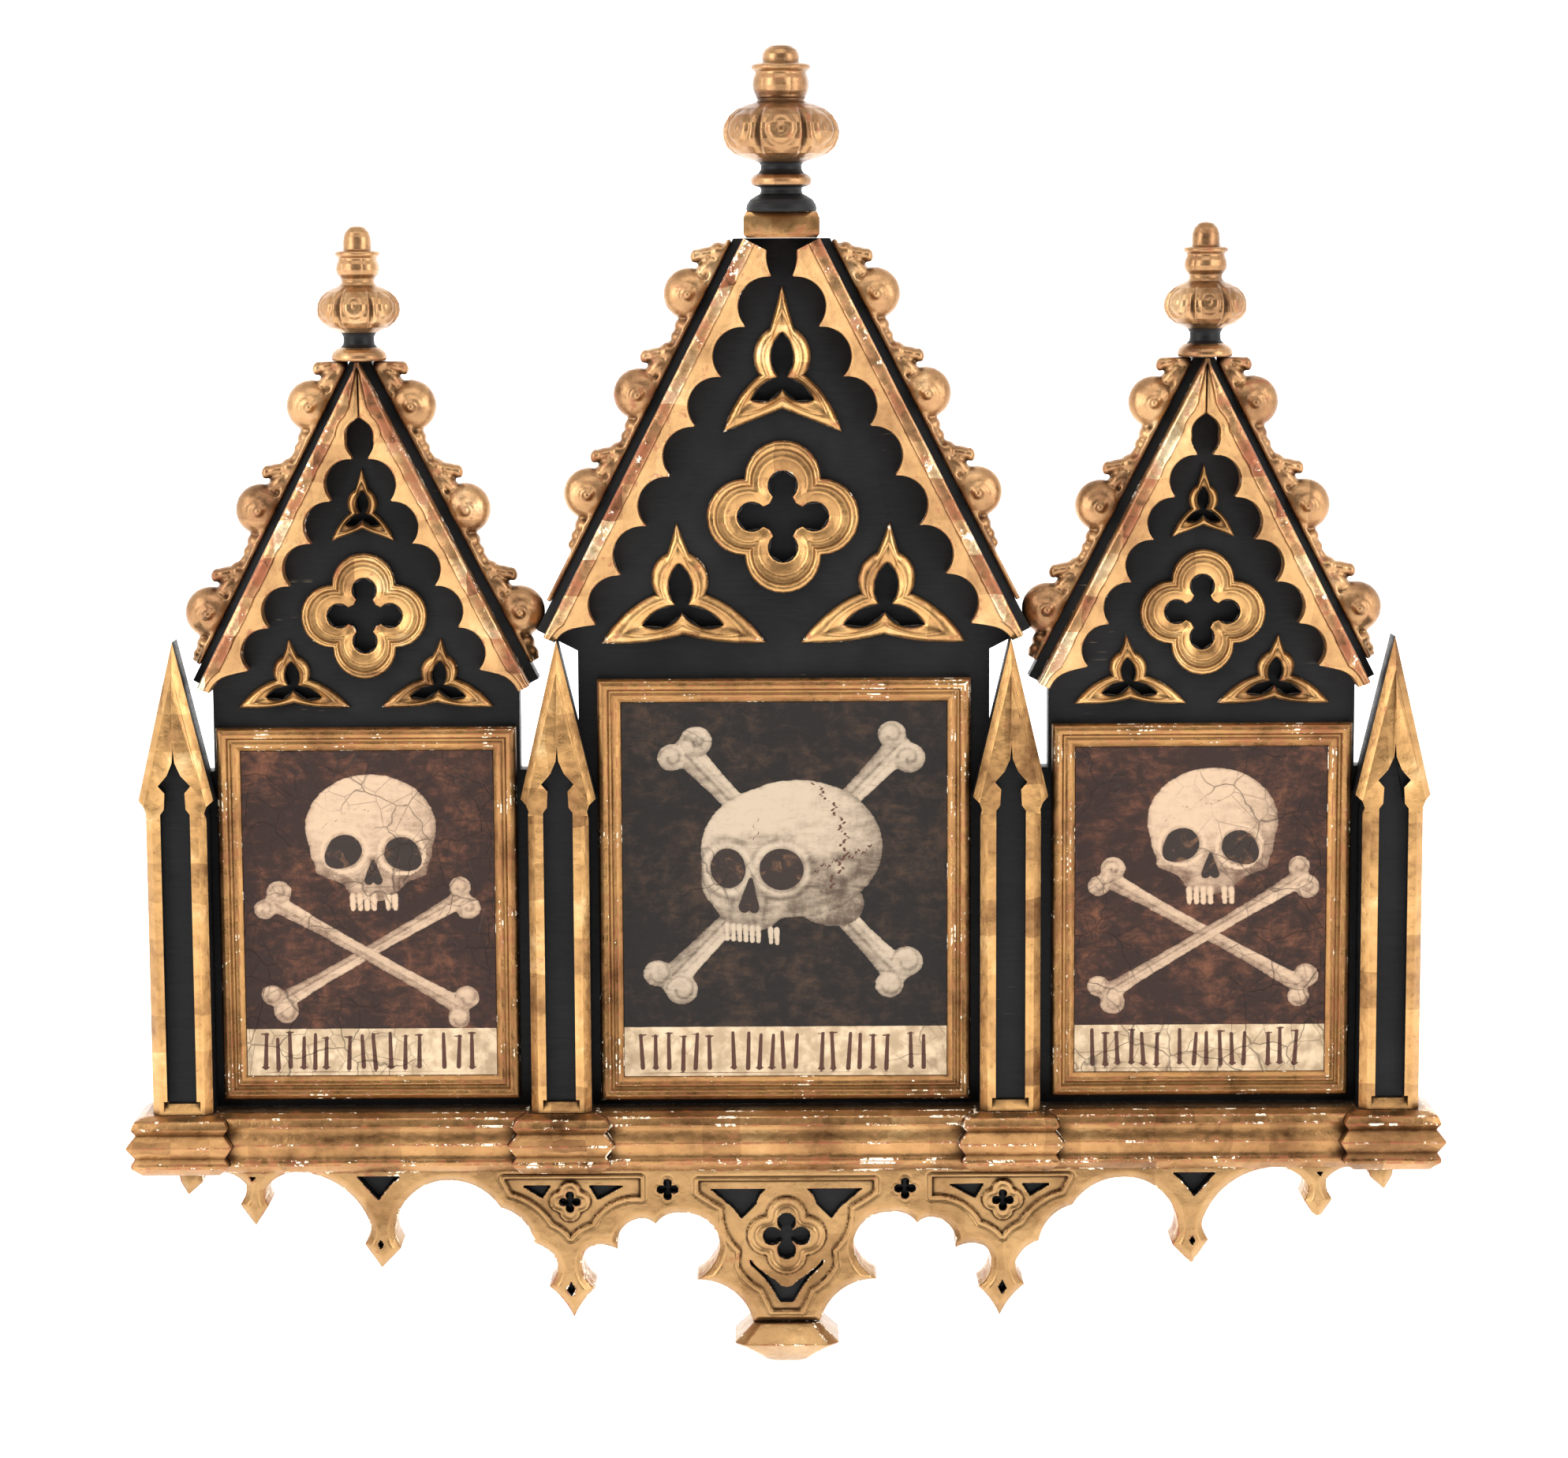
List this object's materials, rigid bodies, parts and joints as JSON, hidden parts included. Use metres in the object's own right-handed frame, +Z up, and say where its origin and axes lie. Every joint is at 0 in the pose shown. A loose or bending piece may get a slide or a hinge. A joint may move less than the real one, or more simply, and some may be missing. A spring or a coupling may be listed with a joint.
{
  "type": "triptych altarpiece",
  "caption": "Hanging Gothic triptych: gabled ebonised boards with gilded mouldings, crockets and finials, framed painted panels, buttresses and a pierced apron.",
  "frame": {"origin": "on the flat back of the middle board, on its centre line at the height where it hangs, 345 mm above the ledge", "axes": "+Z up, -Y out from the wall towards the viewer, +X to the viewer's right"},
  "size_m": [1.0096, 0.074, 1.0088],
  "materials": {
    "gilded_wood": "water-gilded over red-brown bole, rubbed and chipped to white gesso on the edges",
    "worn_gilding": "worn, pinkish gilding on carved crockets and finials, with dark painted necks",
    "ebonised_wood": "satin black paint with fine scratches",
    "oil_paint": "old oil paint on panel, mottled brown with fine craquelure"
  },
  "bodies": {
    "root": {"board_centre": "ebonised_wood", "board_left": "ebonised_wood", "board_right": "ebonised_wood", "rake_centre_right": "gilded_wood", "crockets_centre_right": "worn_gilding", "rake_centre_left": "gilded_wood", "crockets_centre_left": "worn_gilding", "quatrefoil_centre": "gilded_wood", "trefoil_centre_top": "gilded_wood", "trefoil_centre_left": "gilded_wood", "trefoil_centre_right": "gilded_wood", "frame_centre": "gilded_wood", "painting_centre": "oil_paint", "finial_centre": "worn_gilding", "rake_left_right": "gilded_wood", "crockets_left_right": "worn_gilding", "rake_left_left": "gilded_wood", "crockets_left_left": "worn_gilding", "quatrefoil_left": "gilded_wood", "trefoil_left_top": "gilded_wood", "trefoil_left_left": "gilded_wood", "trefoil_left_right": "gilded_wood", "frame_left": "gilded_wood", "painting_left": "oil_paint", "finial_left": "worn_gilding", "rake_right_right": "gilded_wood", "crockets_right_right": "worn_gilding", "rake_right_left": "gilded_wood", "crockets_right_left": "worn_gilding", "quatrefoil_right": "gilded_wood", "trefoil_right_top": "gilded_wood", "trefoil_right_left": "gilded_wood", "trefoil_right_right": "gilded_wood", "frame_right": "gilded_wood", "painting_right": "oil_paint", "finial_right": "worn_gilding", "plinth_block": "gilded_wood", "buttress_1": "gilded_wood", "base_block_1": "gilded_wood", "buttress_2": "gilded_wood", "base_block_2": "gilded_wood", "buttress_3": "gilded_wood", "base_block_3": "gilded_wood", "buttress_4": "gilded_wood", "base_block_4": "gilded_wood", "base_run_1": "gilded_wood", "base_run_2": "gilded_wood", "base_run_3": "gilded_wood", "apron": "gilded_wood", "corbel": "gilded_wood"}
  },
  "joints": []
}
